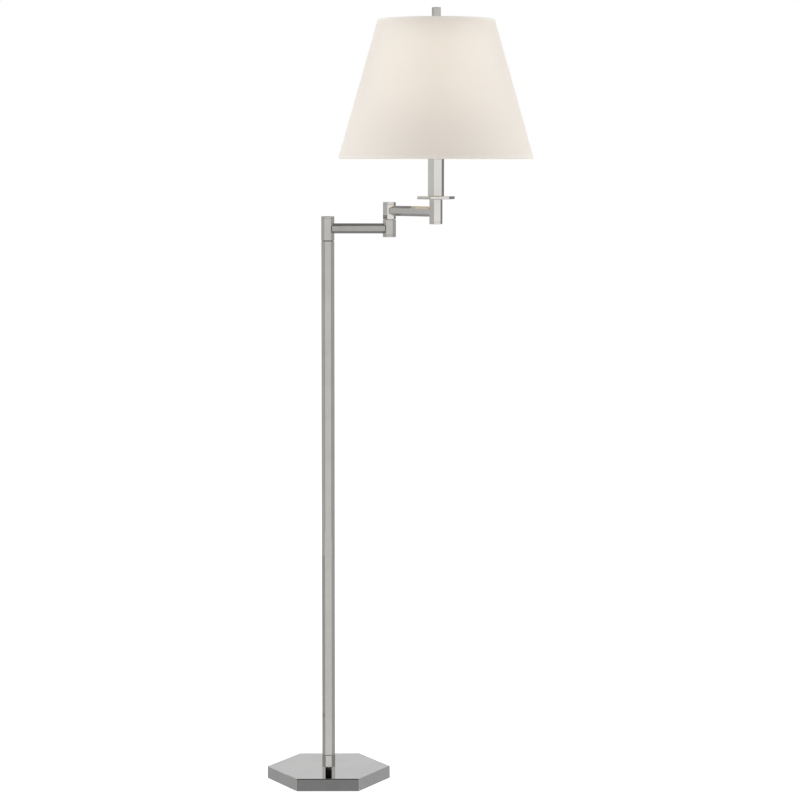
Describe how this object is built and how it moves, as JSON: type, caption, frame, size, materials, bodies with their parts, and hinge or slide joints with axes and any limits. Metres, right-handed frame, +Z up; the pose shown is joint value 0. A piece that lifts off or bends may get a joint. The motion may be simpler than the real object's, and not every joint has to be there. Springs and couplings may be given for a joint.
{
  "type": "bridge floor lamp",
  "caption": "Polished hexagonal swing-arm floor lamp: weighted base, column, two stacked arms on friction joints, drip plate and sleeve, harp and lit ivory empire shade.",
  "frame": {"origin": "centre of the underside, on the column's axis", "axes": "+Z up, +X along the lower arm, -Y the side that faces the viewer"},
  "size_m": [0.5248, 0.3973, 1.5381],
  "materials": {
    "nickel": "polished nickel",
    "steel": "plain steel",
    "brass": "plain brass",
    "iron": "raw casting",
    "felt": "dense felt",
    "rubber": "moulded",
    "nylon": "turned nylon",
    "lead": "clear gold flex",
    "card": "fibre liner",
    "phenolic": "moulded",
    "glass": "frosted, lit",
    "cloth": "woven shade cloth",
    "lining": "stiff translucent lining",
    "tape": "rolled hem tape"
  },
  "bodies": {
    "stand": {"base_felt": "felt", "base_weight": "iron", "base_cover": "nickel", "cord_bushing": "rubber", "base_nipple": "brass", "base_washer": "steel", "base_nut": "brass", "column_foot_plug": "steel", "column_tube": "nickel", "column_head_plug": "steel", "shoulder_spindle": "brass", "shoulder_thrust_washer": "nylon", "shoulder_friction_washer": "brass", "shoulder_spring_washer": "steel", "shoulder_nut": "brass", "shoulder_stop_pin": "steel", "column_lead": "lead"},
    "lower_arm": {"shoulder_block": "nickel", "shoulder_cap": "nickel", "lower_arm_rod": "nickel", "elbow_lower_block": "nickel", "elbow_bottom_cap": "nickel", "elbow_spindle": "brass", "elbow_nuts": "brass", "elbow_thrust_washer": "nylon", "elbow_friction_washer": "brass", "elbow_spring_washer": "steel", "elbow_stop_pin": "steel", "lower_arm_lead": "lead"},
    "upper_arm": {"elbow_upper_block": "nickel", "elbow_top_cap": "nickel", "upper_arm_rod": "nickel", "head_block": "nickel", "head_bottom_cap": "nickel", "stem_nut": "brass", "stem_nipple": "brass", "drip_plate": "nickel", "sleeve": "nickel", "sleeve_cap": "nickel", "upper_arm_lead": "lead", "harp_saddle": "steel", "harp": "steel", "holder_cap": "brass", "holder_shell": "brass", "holder_liner": "card", "holder_body": "phenolic", "terminal_screws": "brass", "centre_contact": "brass", "screw_shell": "brass", "bulb_base": "brass", "bulb_glass": "glass", "spider_frame": "steel", "lower_ring": "steel", "shade_lining": "lining", "shade_cloth": "cloth", "shade_tapes": "tape", "finial": "nickel"},
    "switch_knob": {"switch_knob": "phenolic"},
    "ferrule_left": {"harp_ferrule_left": "nickel"},
    "ferrule_right": {"harp_ferrule_right": "nickel"}
  },
  "joints": [
    {"name": "shoulder_swivel", "type": "hinge", "parent": "stand", "child": "lower_arm", "pos_m": [0, 0, 1.0863], "axis": [0, 0, 1], "range_deg": [-165, 165]},
    {"name": "elbow_swivel", "type": "hinge", "parent": "lower_arm", "child": "upper_arm", "pos_m": [0.122, 0, 1.12825], "axis": [0, 0, 1], "range_deg": [-107, 203]},
    {"name": "switch_knob_turn", "type": "hinge", "parent": "upper_arm", "child": "switch_knob", "pos_m": [0.21166, -0.11958, 1.2901], "axis": [0, -1, 0], "continuous": true},
    {"name": "ferrule_left_slide", "type": "slide", "parent": "upper_arm", "child": "ferrule_left", "axis": [0, 0, 1], "range_m": [0, 0.012]},
    {"name": "ferrule_right_slide", "type": "slide", "parent": "upper_arm", "child": "ferrule_right", "axis": [0, 0, 1], "range_m": [0, 0.012]}
  ]
}
